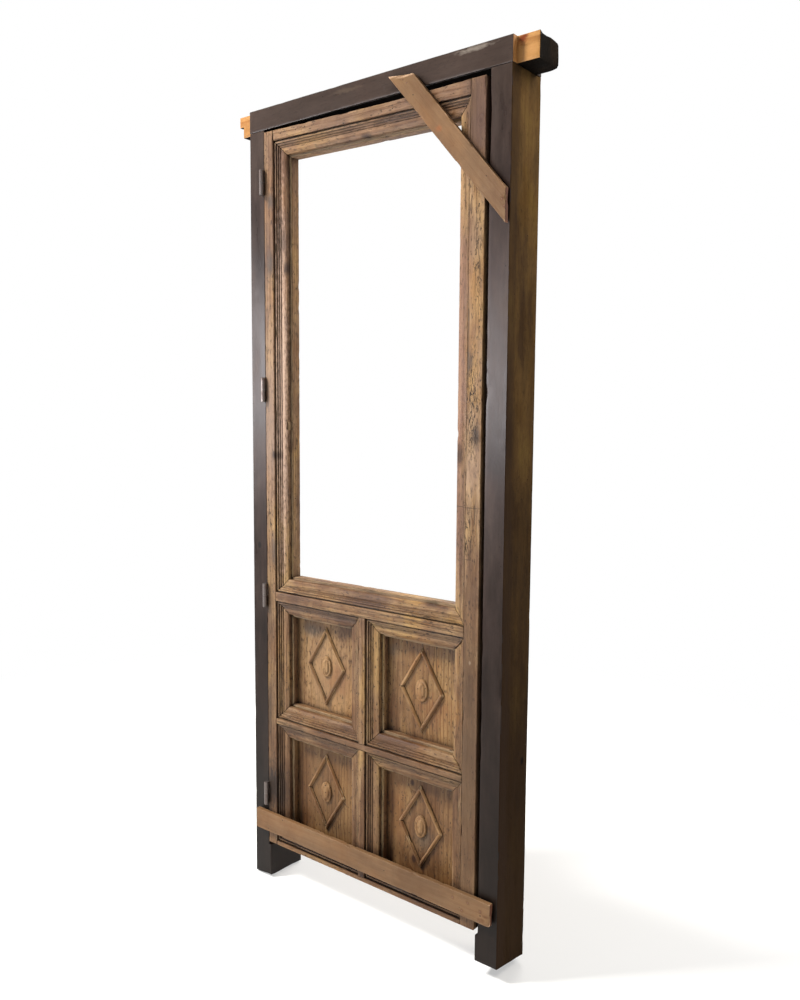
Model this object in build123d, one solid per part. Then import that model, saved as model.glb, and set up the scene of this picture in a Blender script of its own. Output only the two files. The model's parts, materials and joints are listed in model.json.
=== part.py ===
import os
from math import cos, pi, sin

from build123d import *

# Old panelled door in its post-and-beam frame. Millimetres, Z up, the front faces -Y.
# Working coordinates: x from the hinge post's outer face, y from the front of the frame
# (depth grows to the back), z from the underside of the hinge post.

# frame
frame_w = 938.0
post_d = 136.0
post_face_w = 63.0
rebate_w = 9.0
rebate_clear = 5.0
head_z = 2353.0
head_h = 65.0
foot_h = 112.0
latch_foot_front = 38.0
latch_foot_back = 14.0
horn_inset = 20.0
horn_right = 62.0
horn_left_top = 66.0
horn_left_low = 50.0
horn_step_h = 32.0
arris = 2.0

# leaf, with its gaps to the frame; its face stands a little proud of the frame's
hinge_gap = 5.0
latch_gap = 9.0
head_gap = 8.0
foot_gap = 12.0
top_dip = 10.0
top_fall = 7.0
top_dip_x = 560.0
opening_fall = 12.0
leaf_front = -5.0
leaf_t = 62.0
stile_flat_hinge = 37.0
stile_flat_latch = 46.0
muntin_flat = 24.0
top_rail_flat = 32.5
lock_rail_flat = 29.0
mid_rail_flat = 18.0
bottom_rail_flat = 14.0
lower_panel_share = 0.1298
upper_panel_share = 0.1254

# mouldings, all of one section: width, depth at the back, mitre gap
mould_w = 49.5
mould_d = 33.0
mitre_gap = 0.2

# panels and their ornament
panel_depth = 50.0
panel_lap = 20.0
panel_gap = 0.5
lozenge_w = 142.0
lozenge_h = 226.0
strip_w = 12.0
strip_h = 8.0
boss_w = 44.0
boss_h = 68.0
boss_rise = 11.0
boss_facets = 16

# battens nailed over the front
batten_t = 14.0
batten_w = 63.0
batten_low = 43.0
batten_fall = 6.0
batten_ends = 25.0
batten_shy = 13.0
brace_w = 84.0
brace_top = 25.0
brace_x_share = 0.6004
brace_z_share = 0.174
brace_shy = 3.0

# barrel hinges
barrel_r = 7.0
pin_r = 3.5
pin_play = 0.05
knuckle_h = 37.0
knuckle_gap = 0.8
barrel_clear = 1.0
flap_t = 2.5
flap_depth = 30.0
hinge_shares = [0.9332, 0.6545, 0.3654, 0.0741]

# worked out from the above
latch_x0 = frame_w - post_face_w
frame_top = head_z + head_h
rebate_d = leaf_front + leaf_t + rebate_clear
leaf_x0 = post_face_w + hinge_gap
leaf_x1 = latch_x0 - latch_gap
leaf_z0 = foot_h + foot_gap
leaf_top = head_z - head_gap
leaf_h = leaf_top - leaf_z0
axis_x = post_face_w + hinge_gap / 2
axis_y = leaf_front - barrel_r - barrel_clear
flat_x0 = leaf_x0 + stile_flat_hinge
flat_x1 = leaf_x1 - stile_flat_latch
sight_x0 = flat_x0 + mould_w
sight_x1 = flat_x1 - mould_w
muntin_mid = (sight_x0 + sight_x1) / 2
muntin_x0 = muntin_mid - muntin_flat / 2 - mould_w
muntin_x1 = muntin_mid + muntin_flat / 2 + mould_w
low_z0 = leaf_z0 + bottom_rail_flat + mould_w
low_z1 = low_z0 + leaf_h * lower_panel_share
up_z0 = low_z1 + mould_w + mid_rail_flat + mould_w
up_z1 = up_z0 + leaf_h * upper_panel_share
glass_z0 = up_z1 + mould_w + lock_rail_flat + mould_w
glass_z1 = leaf_top - top_rail_flat - mould_w
opening_slope = opening_fall / (sight_x1 - sight_x0)
back_y = leaf_front + leaf_t
seat_y = leaf_front + mould_d
panel_y = leaf_front + panel_depth

os.makedirs("parts", exist_ok=True)
origin_shift = Location((-(post_face_w + rebate_w) / 2, -post_d / 2, 0))


def slab(x0, x1, y0, y1, z0, z1):
    return Pos((x0 + x1) / 2, (y0 + y1) / 2, (z0 + z1) / 2) * Box(x1 - x0, y1 - y0, z1 - z0)


def plate(points, y0, y1):
    # outline in x and z, with its thickness from y0 to y1
    face = make_face(Polyline(*[(x, z) for x, z in points], close=True).edges())
    return extrude(Plane.XZ.offset(-y1) * face, amount=y1 - y0)


def save(name, shapes):
    shapes = shapes if isinstance(shapes, list) else [shapes]
    moved = [origin_shift * s for s in shapes]
    out = moved[0] if len(moved) == 1 else Compound(children=moved)
    export_step(out, f"parts/{name}.step")


# posts and head
def post(x_out, x_in, face_x, bottom_front, bottom_back):
    body = slab(min(x_out, x_in), max(x_out, x_in), 0, post_d, 0, head_z)
    body -= slab(min(face_x, x_in), max(face_x, x_in), -1, rebate_d, foot_h, head_z + 1)
    if bottom_front > 0:
        cut = Plane.YZ * make_face(
            Polyline((-1, -1), (post_d + 1, -1), (post_d + 1, bottom_back), (-1, bottom_front), close=True).edges()
        )
        body -= extrude(Pos(min(x_out, x_in) - 1, 0, 0) * cut, amount=abs(x_in - x_out) + 2)
    edges = body.edges().filter_by(Axis.Z).filter_by(lambda e: abs(e.center().X - x_out) < 0.1)
    return chamfer(edges, arris)


hinge_post = post(0, post_face_w + rebate_w, post_face_w, 0, 0)
save("latch_post", post(frame_w, latch_x0 - rebate_w, latch_x0, latch_foot_front, latch_foot_back))

head = slab(0, frame_w, 0, post_d, head_z, frame_top)
head += slab(post_face_w + rebate_w, latch_x0 - rebate_w, rebate_d, post_d, head_z - rebate_w, head_z)
head = chamfer(head.edges().filter_by(Axis.X).group_by(Axis.Z)[-1], arris)
head += slab(frame_w, frame_w + horn_right, horn_inset, post_d - horn_inset, head_z, frame_top)
head += slab(-horn_left_top, 0, horn_inset, post_d - horn_inset, frame_top - horn_step_h, frame_top)
head += slab(-horn_left_low, 0, horn_inset, post_d - horn_inset, head_z, frame_top - horn_step_h)
save("head_beam", head)

# temporary battens, bearing on the face of the leaf
low_left = leaf_z0 + batten_low
low_right = low_left - batten_fall
batten_x1 = frame_w - batten_shy
batten_points = [
    (batten_ends, low_left), (batten_x1, low_right), (batten_x1, low_right + batten_w), (batten_ends, low_left + batten_w)
]
brace_x1 = frame_w - brace_shy
brace_peak = frame_top - brace_top
brace_drop = frame_top * brace_z_share
brace_points = [
    (frame_w * brace_x_share, brace_peak), (frame_w * brace_x_share + brace_w, brace_peak - brace_w / 10),
    (brace_x1, brace_peak - brace_drop + brace_w), (brace_x1, brace_peak - brace_drop),
]
save("lower_batten", plate(batten_points, leaf_front - batten_t, leaf_front))
save("corner_brace", plate(brace_points, leaf_front - batten_t, leaf_front))

# leaf framing
bays = {
    "lower_left": (sight_x0, muntin_x0, low_z0, low_z1),
    "lower_right": (muntin_x1, sight_x1, low_z0, low_z1),
    "upper_left": (sight_x0, muntin_x0, up_z0, up_z1),
    "upper_right": (muntin_x1, sight_x1, up_z0, up_z1),
}
top_wedge = plate(
    [(leaf_x0 - 1, leaf_top), (top_dip_x, leaf_top - top_dip), (leaf_x1 + 1, leaf_top - top_fall),
     (leaf_x1 + 1, leaf_top + 9), (leaf_x0 - 1, leaf_top + 9)],
    leaf_front - 1, back_y + 1,
)
panel_seats = [
    slab(x0 - panel_lap, x1 + panel_lap, panel_y, back_y + 1, z0 - panel_lap, z1 + panel_lap)
    for x0, x1, z0, z1 in bays.values()
]


def member(front, back):
    # front layer carries the flat, the back layer runs on behind the mouldings
    body = slab(front[0], front[1], leaf_front, seat_y, front[2], front[3])
    body += slab(back[0], back[1], seat_y, back_y, back[2], back[3])
    for seat in panel_seats:
        body -= seat
    return body


hinge_stile = member((leaf_x0, flat_x0, leaf_z0, leaf_top), (leaf_x0, sight_x0, leaf_z0, leaf_top)) - top_wedge
latch_stile = member((flat_x1, leaf_x1, leaf_z0, leaf_top), (sight_x1, leaf_x1, leaf_z0, leaf_top)) - top_wedge
top_rail = member((flat_x0, flat_x1, glass_z1, leaf_top), (sight_x0, sight_x1, glass_z1 - opening_fall, leaf_top))
top_rail -= top_wedge
for x0, x1, over, y0, y1 in ((flat_x0, flat_x1, mould_w, leaf_front - 1, seat_y), (sight_x0, sight_x1, 0, seat_y, back_y + 1)):
    # the lower edge falls with the moulding that lies along it
    start = glass_z1 + over + (over + 1) * opening_slope
    end = start - (x1 - x0 + 2) * opening_slope
    top_rail -= plate([(x0 - 1, start), (x1 + 1, end), (x1 + 1, glass_z1 - 50), (x0 - 1, glass_z1 - 50)], y0, y1)
lock_rail = member((flat_x0, flat_x1, up_z1 + mould_w, glass_z0 - mould_w), (sight_x0, sight_x1, up_z1, glass_z0))
mid_rail = member((flat_x0, flat_x1, low_z1 + mould_w, up_z0 - mould_w), (sight_x0, sight_x1, low_z1, up_z0))
bottom_rail = member((flat_x0, flat_x1, leaf_z0, low_z0 - mould_w), (sight_x0, sight_x1, leaf_z0, low_z0))
muntin_a = muntin_mid - muntin_flat / 2
muntin_b = muntin_mid + muntin_flat / 2
upper_muntin = member((muntin_a, muntin_b, up_z0 - mould_w, up_z1 + mould_w), (muntin_x0, muntin_x1, up_z0, up_z1))
lower_muntin = member((muntin_a, muntin_b, low_z0 - mould_w, low_z1 + mould_w), (muntin_x0, muntin_x1, low_z0, low_z1))

# hinges: the lower knuckle and its pin stay on the post, the upper knuckle lifts with the leaf
knuckle_end = 3.0
for n, share in enumerate(hinge_shares, start=1):
    mid_z = leaf_z0 + leaf_h * share
    low = mid_z - knuckle_gap / 2 - knuckle_h
    high = mid_z + knuckle_gap / 2
    spot = Pos(axis_x, axis_y, 0)
    post_flap = slab(post_face_w - flap_t, post_face_w, axis_y, flap_depth, low, low + knuckle_h)
    leaf_flap = slab(leaf_x0, leaf_x0 + flap_t, axis_y, flap_depth, high, high + knuckle_h)
    post_half = spot * Pos(0, 0, low + knuckle_h / 2) * Cylinder(barrel_r, knuckle_h) + post_flap
    post_half = chamfer(post_half.faces().sort_by(Axis.Z)[0].edges().filter_by(GeomType.CIRCLE), 1.2)
    pin_top = high + knuckle_h - knuckle_end - 1
    post_half += spot * Pos(0, 0, (mid_z - 1 + pin_top) / 2) * Cylinder(pin_r, pin_top - mid_z + 1)
    leaf_half = spot * Pos(0, 0, high + knuckle_h / 2) * Cylinder(barrel_r, knuckle_h) + leaf_flap
    leaf_half = chamfer(leaf_half.faces().sort_by(Axis.Z)[-1].edges().filter_by(GeomType.CIRCLE), 1.2)
    bore = knuckle_h - knuckle_end
    leaf_half -= spot * Pos(0, 0, high + bore / 2) * Cylinder(pin_r + pin_play, bore)
    save(f"hinge_{n}_post_half", post_half)
    save(f"hinge_{n}_leaf_half", leaf_half)
    hinge_stile -= slab(leaf_x0 - 1, leaf_x0 + flap_t, leaf_front - 1, flap_depth, high, high + knuckle_h)
    hinge_post -= slab(post_face_w - flap_t, post_face_w + 1, -1, flap_depth, low, low + knuckle_h)

save("hinge_post", hinge_post)
save("hinge_stile", hinge_stile)
save("latch_stile", latch_stile)
save("top_rail", top_rail)
save("lock_rail", lock_rail)
save("mid_rail", mid_rail)
save("bottom_rail", bottom_rail)
save("upper_muntin", upper_muntin)
save("lower_muntin", lower_muntin)

# moulding section: across the width from the flat to the sight edge, and into the depth
fillet_steps = [(3, 8), (3, 5.5), (8.5, 5.5), (8.5, 9.5), (14, 9.5), (14, 13), (20, 13), (20, 15.5)]
band_end = (mould_w - 8, 19.0)
step_y = 30.3


def moulding_face(frame):
    # quirk and three fillets, then the broad swelling band, then the narrow step at the sight edge
    band_mid = ((fillet_steps[-1][0] + band_end[0]) / 2, (fillet_steps[-1][1] + band_end[1]) / 2 - 2.0)
    first = Polyline((mould_w, mould_d), (0, mould_d), (0, fillet_steps[0][1]), *fillet_steps)
    band = ThreePointArc(fillet_steps[-1], band_mid, band_end)
    last = Polyline(band_end, (band_end[0], step_y), (mould_w, step_y), (mould_w, mould_d))
    return frame * make_face(first.edges() + band.edges() + last.edges())


def moulding_run(x0, x1, z0, z1, side, slope=0.0):
    # one mitred length round the sight size x0..x1, z0..z1, on the named side; the top may fall to the right
    ox0, ox1, oz0 = x0 - mould_w, x1 + mould_w, z0 - mould_w
    end_z = z1 - (x1 - x0) * slope
    oz1 = z1 + mould_w * (1 + slope)
    oz_end = end_z + mould_w * (1 - slope)
    g = mitre_gap
    runs = {
        "bottom": ((0, 0, 1), (ox1, oz0), ox1 - ox0, [(ox0 + g, oz0), (ox1 - g, oz0), (x1 - g, z0), (x0 + g, z0)]),
        "top": ((-slope, 0, -1), (ox0, oz1), ox1 - ox0 + 1,
                [(ox0 + g, oz1), (x0 + g, z1), (x1 - g, end_z), (ox1 - g, oz_end)]),
        "left": ((1, 0, 0), (ox0, oz0), oz1 - oz0, [(ox0, oz0 + g), (x0, z0 + g), (x0, z1 - g), (ox0, oz1 - g)]),
        "right": ((-1, 0, 0), (ox1, oz1), oz1 - oz0,
                  [(ox1, oz0 + g), (ox1, oz_end - g), (x1, end_z - g), (x1, z0 + g)]),
    }
    inward, corner, length, outline = runs[side]
    inward = tuple(Vector(*inward).normalized())
    along = Vector(*inward).cross(Vector(0, 1, 0))
    frame = Plane(origin=(corner[0], leaf_front, corner[1]), x_dir=inward, z_dir=along)
    bar = extrude(moulding_face(frame), amount=length)
    return bar & plate(outline, leaf_front - 1, back_y)


sides = ["top", "bottom", "left", "right"]
for side in sides:
    save(f"opening_moulding_{side}", moulding_run(sight_x0, sight_x1, glass_z0, glass_z1, side, opening_slope))

# ornament on the panels
strip = [
    (-strip_w / 2, 0), (-strip_w / 2, strip_h * 0.35), (-strip_w * 0.18, strip_h), (strip_w * 0.18, strip_h),
    (strip_w / 2, strip_h * 0.35), (strip_w / 2, 0),
]


def lozenge(cx, cz):
    # four lengths, each kept to its own quarter so that they meet on mitres
    hw, hh = lozenge_w / 2, lozenge_h / 2
    lengths = []
    for sx, sz in ((1, 1), (-1, 1), (-1, -1), (1, -1)):
        a = Vector(cx + sx * hw, 0, cz)
        b = Vector(cx, 0, cz + sz * hh)
        run = (b - a).normalized()
        out = run.cross(Vector(0, 1, 0))
        frame = Plane(origin=(a.X, panel_y, a.Z), x_dir=tuple(out), z_dir=tuple(run))
        face = frame * make_face(Polyline(*strip, close=True).edges())
        bar = extrude(face, amount=(b - a).length + 20, both=True)
        xs = sorted((cx + sx * mitre_gap, cx + sx * (hw + 40)))
        zs = sorted((cz + sz * mitre_gap, cz + sz * (hh + 40)))
        lengths.append(bar & slab(xs[0], xs[1], panel_y - 20, panel_y + 1, zs[0], zs[1]))
    return lengths


def boss(cx, cz):
    # an oval cut in flat facets: steep at its edge, then rounding over to a flat crown
    rings = []
    for rise, share in ((0, 1), (0.5, 0.95), (0.85, 0.8), (1, 0.58)):
        points = [
            (share * boss_w / 2 * cos(2 * pi * (k + 0.5) / boss_facets),
             share * boss_h / 2 * sin(2 * pi * (k + 0.5) / boss_facets))
            for k in range(boss_facets)
        ]
        level = Plane(origin=(cx, panel_y - boss_rise * rise, cz), x_dir=(1, 0, 0), z_dir=(0, -1, 0))
        rings.append(level * make_face(Polyline(*points, close=True).edges()))
    return loft(rings, ruled=True)


for name, (x0, x1, z0, z1) in bays.items():
    lap = panel_lap - panel_gap
    save(f"panel_{name}", slab(x0 - lap, x1 + lap, panel_y, back_y - panel_gap, z0 - lap, z1 + lap))
    save(f"panel_moulding_{name}", [moulding_run(x0, x1, z0, z1, side) for side in sides])
    cx, cz = (x0 + x1) / 2, (z0 + z1) / 2
    save(f"lozenge_{name}", lozenge(cx, cz))
    save(f"boss_{name}", boss(cx, cz))
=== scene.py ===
import functools
import json
import math
import random

import bmesh
import bpy
import numpy as np
from mathutils import Matrix, Vector, noise

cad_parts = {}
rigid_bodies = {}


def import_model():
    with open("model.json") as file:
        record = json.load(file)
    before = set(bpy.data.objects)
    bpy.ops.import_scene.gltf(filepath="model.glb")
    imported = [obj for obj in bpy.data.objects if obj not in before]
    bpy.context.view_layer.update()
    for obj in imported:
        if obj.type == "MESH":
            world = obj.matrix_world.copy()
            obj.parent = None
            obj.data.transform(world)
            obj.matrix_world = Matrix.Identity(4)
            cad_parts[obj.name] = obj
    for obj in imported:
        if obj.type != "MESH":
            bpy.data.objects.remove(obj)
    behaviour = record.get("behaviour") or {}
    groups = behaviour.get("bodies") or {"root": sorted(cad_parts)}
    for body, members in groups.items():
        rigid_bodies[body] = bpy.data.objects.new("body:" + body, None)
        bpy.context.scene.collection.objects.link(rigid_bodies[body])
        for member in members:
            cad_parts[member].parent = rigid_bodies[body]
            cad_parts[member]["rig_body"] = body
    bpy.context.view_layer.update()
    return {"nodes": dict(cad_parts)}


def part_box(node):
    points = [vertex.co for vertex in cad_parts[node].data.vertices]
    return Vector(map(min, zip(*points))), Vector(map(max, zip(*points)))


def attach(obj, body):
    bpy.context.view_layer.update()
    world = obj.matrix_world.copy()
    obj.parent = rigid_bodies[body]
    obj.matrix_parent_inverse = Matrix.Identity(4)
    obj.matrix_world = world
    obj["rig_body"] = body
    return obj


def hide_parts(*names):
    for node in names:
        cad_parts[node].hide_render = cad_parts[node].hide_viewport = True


# Old panelled pine door in its dark stained frame: worn timber, iron hinges and nails over the CAD model.
# Metres, the front faces -Y. The leaf and its mouldings ride on the body "door".
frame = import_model()
print("frame loaded:", len(frame["nodes"]), "nodes")


def linear(hexColour):
    # sRGB hex to the linear colour that the shaders work in
    parts = [int(hexColour[i:i + 2], 16) / 255 for i in (1, 3, 5)]
    return tuple(c / 12.92 if c <= 0.04045 else ((c + 0.055) / 1.055) ** 2.4 for c in parts) + (1.0,)


def addNode(tree, kind, links=None, out=0, **settings):
    # one node with its settings, its links and its values; gives one output, or the node where out is None
    node = tree.nodes.new(kind)
    for key, value in settings.items():
        setattr(node, key, value)
    for socket, value in (links or {}).items():
        if isinstance(value, bpy.types.NodeSocket):
            tree.links.new(value, node.inputs[socket])
        else:
            node.inputs[socket].default_value = value
    return node if out is None else node.outputs[out]


def newMaterial(name):
    # an empty node material, and the function that adds nodes to it
    material = bpy.data.materials.new(name)
    material.use_nodes = True
    material.node_tree.nodes.clear()
    return material, functools.partial(addNode, material.node_tree)


def newObject(name, data):
    made = bpy.data.objects.new(name, data)
    bpy.context.scene.collection.objects.link(made)
    return made


# timber finishes
# Grain runs in the piece's own "grain" attribute: x along the board, y and z across it from the pith.

# waves in each metre, along the board and across it (stain: sideways, deep and up)
waves = {"drift": (2.0, 9.0, 9.0), "fine": (16.0, 420.0, 420.0), "broad": (13.0, 110.0, 110.0),
         "cloud": (3.2, 13.0, 13.0), "stain": (9.0, 9.0, 5.0), "residue": (60.0, 160.0, 160.0),
         "split": (1.5, 48.0, 48.0), "furrow": (24.0, 95.0, 95.0), "worm": (60.0, 60.0, 60.0)}
pitColour, runOverColour = "#1C120B", "#2C2018"
# width of the moulding's section in mm
sectionWidth = 49.5


def timber(name, look):
    material, put = newMaterial(name)
    grain = put("ShaderNodeAttribute", out="Vector", attribute_name="grain")
    place = put("ShaderNodeTexCoord", out="Object")

    def streaks(source, kind, out=0, **sockets):
        # noise drawn out along the board
        scaled = put("ShaderNodeVectorMath", {0: source, 1: waves[kind]}, operation="MULTIPLY")
        return put("ShaderNodeTexNoise", {"Vector": scaled, "Scale": 1.0, **sockets}, out=out)

    # the grain wanders by some 10 mm over each half metre
    drift = streaks(grain, "drift", out="Color", Detail=2.0)
    drift = put("ShaderNodeVectorMath", {0: drift, 1: (0.5, 0.5, 0.5)}, operation="SUBTRACT")
    wander = look["wander"]
    bent = put("ShaderNodeVectorMath", {0: drift, 1: (0.0, wander, wander), 2: grain},
               operation="MULTIPLY_ADD")

    # knots: one cell in so many holds one, and its true distance is worked out in metres
    cell = look["knotCell"]
    cellSpace = put("ShaderNodeVectorMath", {0: grain, 1: (1 / cell[0], 1 / cell[1], 1 / cell[1])},
                    operation="MULTIPLY")
    cells = put("ShaderNodeTexVoronoi", {"Vector": cellSpace, "Scale": 1.0, "Randomness": 0.9}, out=None)
    away = put("ShaderNodeVectorMath", {0: cellSpace, 1: cells.outputs["Position"]}, operation="SUBTRACT")
    away = put("ShaderNodeVectorMath", {0: away, 1: (cell[0] * 0.7, cell[1], cell[1])},
               operation="MULTIPLY")
    away = put("ShaderNodeVectorMath", {0: away}, out="Value", operation="LENGTH")
    chance = put("ShaderNodeSeparateColor", {0: cells.outputs["Color"]}, out=None)
    there = put("ShaderNodeMath", {0: chance.outputs[0], 1: 1 - look["knotRate"]}, operation="GREATER_THAN")
    size = put("ShaderNodeMapRange", {"Value": chance.outputs[1], "To Min": 0.004, "To Max": 0.013})
    ratio = put("ShaderNodeMath", {0: away, 1: size}, operation="DIVIDE")
    knot = put("ShaderNodeMapRange", {"Value": ratio, "From Min": 1.2, "From Max": 0.75})
    knot = put("ShaderNodeMath", {0: knot, 1: there}, operation="MULTIPLY")
    lift = put("ShaderNodeMapRange", {"Value": ratio, "From Min": 3.2, "From Max": 0.6, "To Max": 0.010},
               interpolation_type="SMOOTHSTEP")
    lift = put("ShaderNodeMath", {0: lift, 1: there}, operation="MULTIPLY")

    # year rings round the pith, drawn wider than the real 2 to 3 mm so that they show
    ringSpace = put("ShaderNodeVectorMath", {0: bent, 1: (0.0, 1.0, 1.0)}, operation="MULTIPLY")
    radius = put("ShaderNodeVectorMath", {0: ringSpace}, out="Value", operation="LENGTH")
    radius = put("ShaderNodeMath", {0: radius, 1: lift}, operation="ADD")
    phase = put("ShaderNodeMath", {0: radius, 1: look["ringGap"]}, operation="DIVIDE")
    phase = put("ShaderNodeMath", {0: phase}, operation="FRACT")
    ring = put("ShaderNodeValToRGB", {0: phase}, out=None)
    ramp = ring.color_ramp
    ramp.elements[0].color = (0.1, 0.1, 0.1, 1)
    ramp.elements[1].color = (0.1, 0.1, 0.1, 1)
    for spot, level in ((0.5, 0.25), (0.82, 0.85), (0.9, 1.0)):
        ramp.elements.new(spot).color = (level, level, level, 1)
    ring = ring.outputs[0]

    # fibres: 2 mm and 8 mm streaks, drawn out along the board
    fine = streaks(bent, "fine", Detail=3.0, Roughness=0.6)
    broad = streaks(bent, "broad", Detail=4.0, Roughness=0.65)
    streak = put("ShaderNodeMath", {0: fine, 1: look["fibre"] * 0.8}, operation="MULTIPLY")
    streak = put("ShaderNodeMath", {0: broad, 1: look["fibre"] * 1.2, 2: streak}, operation="MULTIPLY_ADD")
    shade = put("ShaderNodeMath", {0: ring, 1: look["ring"], 2: streak}, operation="MULTIPLY_ADD")
    shade = put("ShaderNodeMath", {0: shade, 1: look["fibre"] + look["ring"] * 0.2}, operation="SUBTRACT",
                use_clamp=False)
    shade = put("ShaderNodeMath", {0: shade, 1: 1.5, 2: 0.5}, operation="MULTIPLY_ADD", use_clamp=True)

    # old finish: tones in clouds 50 to 300 mm across, and water stains that cross from board to board
    cloud = streaks(bent, "cloud", Detail=6.0, Roughness=0.62)
    stain = streaks(place, "stain", out="Color", Detail=5.0, Roughness=0.62)
    stain = put("ShaderNodeSeparateColor", {0: stain}, out=None)
    mixed = put("ShaderNodeMath", {0: cloud, 1: 0.6}, operation="MULTIPLY")
    mixed = put("ShaderNodeMath", {0: stain.outputs[0], 1: 0.4, 2: mixed}, operation="MULTIPLY_ADD")
    tones = put("ShaderNodeValToRGB", {0: mixed}, out=None)
    stops = tones.color_ramp.elements
    stops[0].position, stops[0].color = 0.40, linear(look["tones"][0])
    stops[1].position, stops[1].color = 0.60, linear(look["tones"][3])
    stops.new(0.47).color = linear(look["tones"][1])
    stops.new(0.53).color = linear(look["tones"][2])
    layers = []
    gold = put("ShaderNodeMapRange", {"Value": stain.outputs[1], "From Min": 0.47, "From Max": 0.66,
                                      "To Max": look["gold"]})
    layers.append((gold, look["goldColour"], "MULTIPLY"))

    # bands from head to foot: partly a change of tone, partly painted light and shade that darkens the lower
    # parts, then the grain over it all
    height = put("ShaderNodeSeparateXYZ", {0: place}, out="Z")
    height = put("ShaderNodeMath", {0: cloud, 1: 0.9, 2: height}, operation="MULTIPLY_ADD")
    for toneAndShadeColour, low, high, share in look["height"]:
        band = put("ShaderNodeMapRange", {"Value": height, "From Min": low + 0.45, "From Max": high + 0.45,
                                          "To Max": share})
        layers.append((band, toneAndShadeColour, "MIX"))
    layers.append((shade, look["late"], "MULTIPLY"))

    # dark residue of the old varnish
    residueNoise = streaks(grain, "residue", Detail=8.0, Roughness=0.66)
    residue = put("ShaderNodeMapRange", {"Value": residueNoise, "From Min": 0.55, "From Max": 0.64,
                                         "To Max": look["residue"]})
    layers.append((residue, look["residueColour"], "MIX"))

    def patch(x, z, halfW, halfH, strength):
        # a broken-edged patch placed on the front: its middle, half width and half height
        near = put("ShaderNodeVectorMath", {0: place, 1: (x, 0, z)}, operation="SUBTRACT")
        near = put("ShaderNodeVectorMath", {0: near, 1: (1 / halfW, 0, 1 / halfH)}, operation="MULTIPLY")
        near = put("ShaderNodeVectorMath", {0: near}, out="Value", operation="LENGTH")
        near = put("ShaderNodeMath", {0: residueNoise, 1: 2.6, 2: near}, operation="MULTIPLY_ADD")
        return put("ShaderNodeMapRange", {"Value": near, "From Min": 2.6, "From Max": 1.7,
                                          "To Max": strength})

    # knots, drying cracks and worm holes
    layers.append((knot, look["knotColour"], "MIX"))
    split = streaks(bent, "split", Detail=1.0)
    split = put("ShaderNodeMath", {0: split, 1: 0.5, 2: 0.010}, operation="COMPARE")
    opened = put("ShaderNodeMapRange", {"Value": cloud, "From Min": 0.50, "From Max": 0.56,
                                        "To Max": look["crack"]})
    split = put("ShaderNodeMath", {0: split, 1: opened}, operation="MULTIPLY")
    for spot in look.get("galleries", []):
        # beetle galleries laid open: crooked dark furrows
        furrow = streaks(grain, "furrow", Detail=3.0, Distortion=0.7)
        furrow = put("ShaderNodeMath", {0: furrow, 1: 0.5, 2: 0.022}, operation="COMPARE")
        furrow = put("ShaderNodeMath", {0: furrow, 1: patch(*spot)}, operation="MULTIPLY")
        split = put("ShaderNodeMath", {0: split, 1: furrow}, operation="MAXIMUM")
    holes = put("ShaderNodeVectorMath", {0: grain, 1: waves["worm"]}, operation="MULTIPLY")
    holes = put("ShaderNodeTexVoronoi", {"Vector": holes, "Scale": 1.0}, out=None)
    hole = put("ShaderNodeMath", {0: holes.outputs["Distance"], 1: 0.11}, operation="LESS_THAN")
    few = put("ShaderNodeSeparateColor", {0: holes.outputs["Color"]})
    few = put("ShaderNodeMath", {0: few, 1: 1 - look["worm"]}, operation="GREATER_THAN")
    hole = put("ShaderNodeMath", {0: hole, 1: few}, operation="MULTIPLY")
    pit = put("ShaderNodeMath", {0: split, 1: hole}, operation="MAXIMUM")
    layers.append((pit, pitColour, "MIX"))

    # marks listed one by one: x, z, half width, half height, strength
    for markColour, marks in look.get("marks", {}).items():
        total = None
        for mark in marks:
            near = patch(*mark)
            total = near if total is None else put("ShaderNodeMath", {0: total, 1: near},
                                                   operation="MAXIMUM")
        layers.append((total, markColour, "MIX"))

    # painted shade, with some dirt, in the quirk and in each step of the moulding, by the distance from its
    # outer edge and by each length's share of shade
    if look.get("section"):
        across = put("ShaderNodeAttribute", out="Fac", attribute_name="section")
        across = put("ShaderNodeMath", {0: broad, 1: 0.0016, 2: across}, operation="MULTIPLY_ADD")
        across = put("ShaderNodeMath", {0: across, 1: 0.0008}, operation="SUBTRACT")
        across = put("ShaderNodeMapRange", {"Value": across, "From Max": sectionWidth / 1000})
        lines = put("ShaderNodeValToRGB", {0: across}, out=None)
        stops = lines.color_ramp.elements
        stops[0].position, stops[0].color = 0.0, (0.9, 0.9, 0.9, 1)
        stops[1].position, stops[1].color = 1.0, (0.12, 0.12, 0.12, 1)
        for spot, level in look["section"]:
            stops.new(spot / sectionWidth).color = (level, level, level, 1)
        inside = put("ShaderNodeMath", {0: across, 1: 0.0}, operation="GREATER_THAN")
        mottle = put("ShaderNodeMapRange", {"Value": residueNoise, "From Min": 0.38, "From Max": 0.58,
                                            "To Min": 0.25, "To Max": look["sectionShadeAndDirt"]})
        lines = put("ShaderNodeMath", {0: lines.outputs[0], 1: mottle}, operation="MULTIPLY")
        lines = put("ShaderNodeMath", {0: lines, 1: inside}, operation="MULTIPLY")
        shadeShare = put("ShaderNodeAttribute", out="Fac", attribute_name="shadeShare")
        lines = put("ShaderNodeMath", {0: lines, 1: shadeShare}, operation="MULTIPLY")
        layers.append((lines, look["shadeAndDirtColour"], "MIX"))

    if look.get("runOver"):
        # the front's stain ran some 35 mm round the arris
        deep = put("ShaderNodeSeparateXYZ", {0: place}, out="Y")
        deep = put("ShaderNodeMath", {0: broad, 1: 0.03, 2: deep}, operation="MULTIPLY_ADD")
        deep = put("ShaderNodeMapRange", {"Value": deep, "From Min": -0.008, "From Max": -0.026,
                                          "To Max": look["runOver"]})
        layers.append((deep, runOverColour, "MIX"))
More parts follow.
